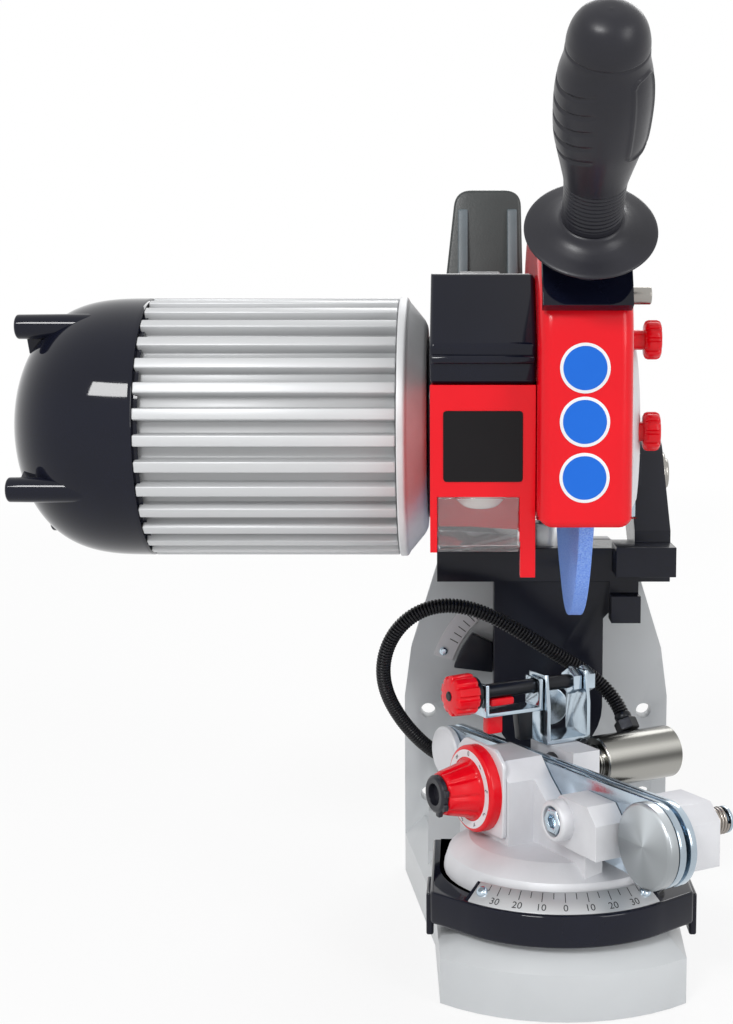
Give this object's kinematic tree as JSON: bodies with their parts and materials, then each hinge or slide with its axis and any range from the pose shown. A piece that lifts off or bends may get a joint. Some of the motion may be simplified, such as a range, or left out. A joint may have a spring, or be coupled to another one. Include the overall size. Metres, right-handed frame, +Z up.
{
  "type": "electric chainsaw sharpener",
  "caption": "Bench-mounted grinder for saw chain: a ribbed motor and wheel swing down on a tilting yoke over a swivelling vise with a hydraulic clamp.",
  "frame": {"origin": "on the bench under the vise's swivel axis", "axes": "+X to the right as the user faces it, +Y to the back plate, +Z up"},
  "size_m": [0.2814, 0.2839, 0.3515],
  "materials": {
    "grey_paint": "light grey paint over a casting, gloss",
    "cast_aluminium": "sandblasted casting",
    "brushed_aluminium": "brushed or turned",
    "zinc_steel": "zinc plated, bright",
    "dark_steel": "blackened",
    "black_gloss": "mirror gloss black",
    "black_casting": "satin black paint over a casting",
    "dark_plastic": "fine grained dark grey",
    "handle_black": "satin black",
    "red_plastic": "gloss red",
    "wheel_blue": "grainy blue ceramic abrasive",
    "copper": "varnished winding and core",
    "clear_plastic": "clear",
    "hose_black": "ribbed black"
  },
  "bodies": {
    "base": {"base_casting": "grey_paint", "swivel_spindle": "zinc_steel", "scale_apron": "black_gloss", "degree_scale": "brushed_aluminium", "tilt_bolt": "zinc_steel", "hose_bulkhead": "zinc_steel", "hydraulic_hose": "hose_black"},
    "tilt_lever": {"tilt_lock_lever": "black_gloss"},
    "column": {"tilt_yoke": "black_casting", "pivot_shaft": "zinc_steel", "master_cylinder": "brushed_aluminium"},
    "plunger": {"master_plunger": "zinc_steel"},
    "head": {"swing_arm": "black_casting", "return_spring": "dark_steel", "motor_housing": "brushed_aluminium", "motor_flange": "cast_aluminium", "motor_end_cap": "black_gloss", "rear_bearing_shield": "cast_aluminium", "stator": "copper", "wheel_guard": "red_plastic", "wheel_side_cover": "cast_aluminium", "handle_bracket": "black_gloss", "handle_shield": "handle_black", "handle_grip": "handle_black", "lamp_housing": "red_plastic", "lamp_lens": "clear_plastic", "lamp_bulb": "clear_plastic", "lamp_hood": "black_gloss", "electrics_box": "dark_plastic", "electrics_cover": "dark_plastic", "cord_gland": "black_gloss"},
    "stop_screw": {"depth_stop_screw": "zinc_steel"},
    "rotor": {"motor_shaft": "zinc_steel", "rotor_core": "dark_steel", "cooling_fan": "dark_plastic", "grinding_wheel": "wheel_blue", "wheel_flange": "zinc_steel", "wheel_nut": "zinc_steel"},
    "rocker": {"power_rocker": "dark_plastic"},
    "high_knob": {"cover_knob_high": "red_plastic"},
    "low_knob": {"cover_knob_low": "red_plastic"},
    "vise": {"vise_casting": "cast_aluminium", "front_jaw": "zinc_steel", "rail_disc_left": "cast_aluminium", "rail_disc_right": "brushed_aluminium", "jaw_bolt": "zinc_steel", "spring_stud": "zinc_steel", "stud_spring": "zinc_steel", "clamp_cylinder": "zinc_steel", "hose_fitting": "zinc_steel", "stop_bracket": "zinc_steel", "stop_rod": "dark_steel"},
    "moving_jaw": {"rear_jaw": "zinc_steel", "piston_rod": "zinc_steel"},
    "dial": {"clamp_dial": "red_plastic", "clamp_screw": "handle_black"},
    "chain_knob": {"stop_knob": "red_plastic"},
    "chain_stop": {"stop_carrier": "zinc_steel", "stop_pawl": "dark_steel"}
  },
  "joints": [
    {"name": "column_tilt", "type": "hinge", "parent": "base", "child": "column", "pos_m": [0, 0.09, 0.088], "axis": [0, -1, 0], "range_deg": [0, 30]},
    {"name": "tilt_lock", "type": "hinge", "parent": "base", "child": "tilt_lever", "pos_m": [0, 0.126, 0.088], "axis": [0, 1, 0], "range_deg": [0, 60]},
    {"name": "head_swing", "type": "hinge", "parent": "column", "child": "head", "pos_m": [0, 0.118, 0.19], "axis": [1, 0, 0], "range_deg": [0, 11], "stiffness_Nm_per_rad": 25, "springref_deg": -28.65},
    {"name": "plunger_slide", "type": "slide", "parent": "column", "child": "plunger", "axis": [0, 0, -1], "range_m": [0, 0.006]},
    {"name": "wheel_spin", "type": "hinge", "parent": "head", "child": "rotor", "pos_m": [0, 0.01, 0.2175], "axis": [1, 0, 0], "continuous": true},
    {"name": "depth_stop_adjust", "type": "slide", "parent": "head", "child": "stop_screw", "axis": [0, 0, -1], "range_m": [-0.006, 0]},
    {"name": "power_switch", "type": "hinge", "parent": "head", "child": "rocker", "pos_m": [-0.032, -0.013, 0.271], "axis": [1, 0, 0], "range_deg": [0, 8]},
    {"name": "high_knob_turn", "type": "hinge", "parent": "head", "child": "high_knob", "pos_m": [0.033, -0.03, 0.252], "axis": [1, 0, 0], "continuous": true},
    {"name": "low_knob_turn", "type": "hinge", "parent": "head", "child": "low_knob", "pos_m": [0.033, -0.03, 0.218], "axis": [1, 0, 0], "continuous": true},
    {"name": "vise_swivel", "type": "hinge", "parent": "base", "child": "vise", "pos_m": [0, 0, 0.035], "axis": [0, 0, 1], "range_deg": [-3, 92], "deforming": ["hydraulic_hose"]},
    {"name": "jaw_clamp", "type": "slide", "parent": "vise", "child": "moving_jaw", "axis": [-0.866, -0.5, 0], "range_m": [0, 0.0013]},
    {"name": "dial_turn", "type": "hinge", "parent": "vise", "child": "dial", "pos_m": [-0.03608, -0.00351, 0.073], "axis": [-0.866, -0.5, 0], "range_deg": [-150, 150]},
    {"name": "stop_knob_turn", "type": "hinge", "parent": "vise", "child": "chain_knob", "pos_m": [-0.03958, 0.00255, 0.11], "axis": [-0.866, -0.5, 0], "range_deg": [-180, 180]},
    {"name": "chain_stop_flip", "type": "hinge", "parent": "vise", "child": "chain_stop", "pos_m": [-0.01966, 0.01405, 0.11], "axis": [-0.866, -0.5, 0], "range_deg": [0, 60]}
  ],
  "couplings": [
    {"joint": "plunger_slide", "follows": "head_swing", "m_per_rad": 0.0285}
  ]
}
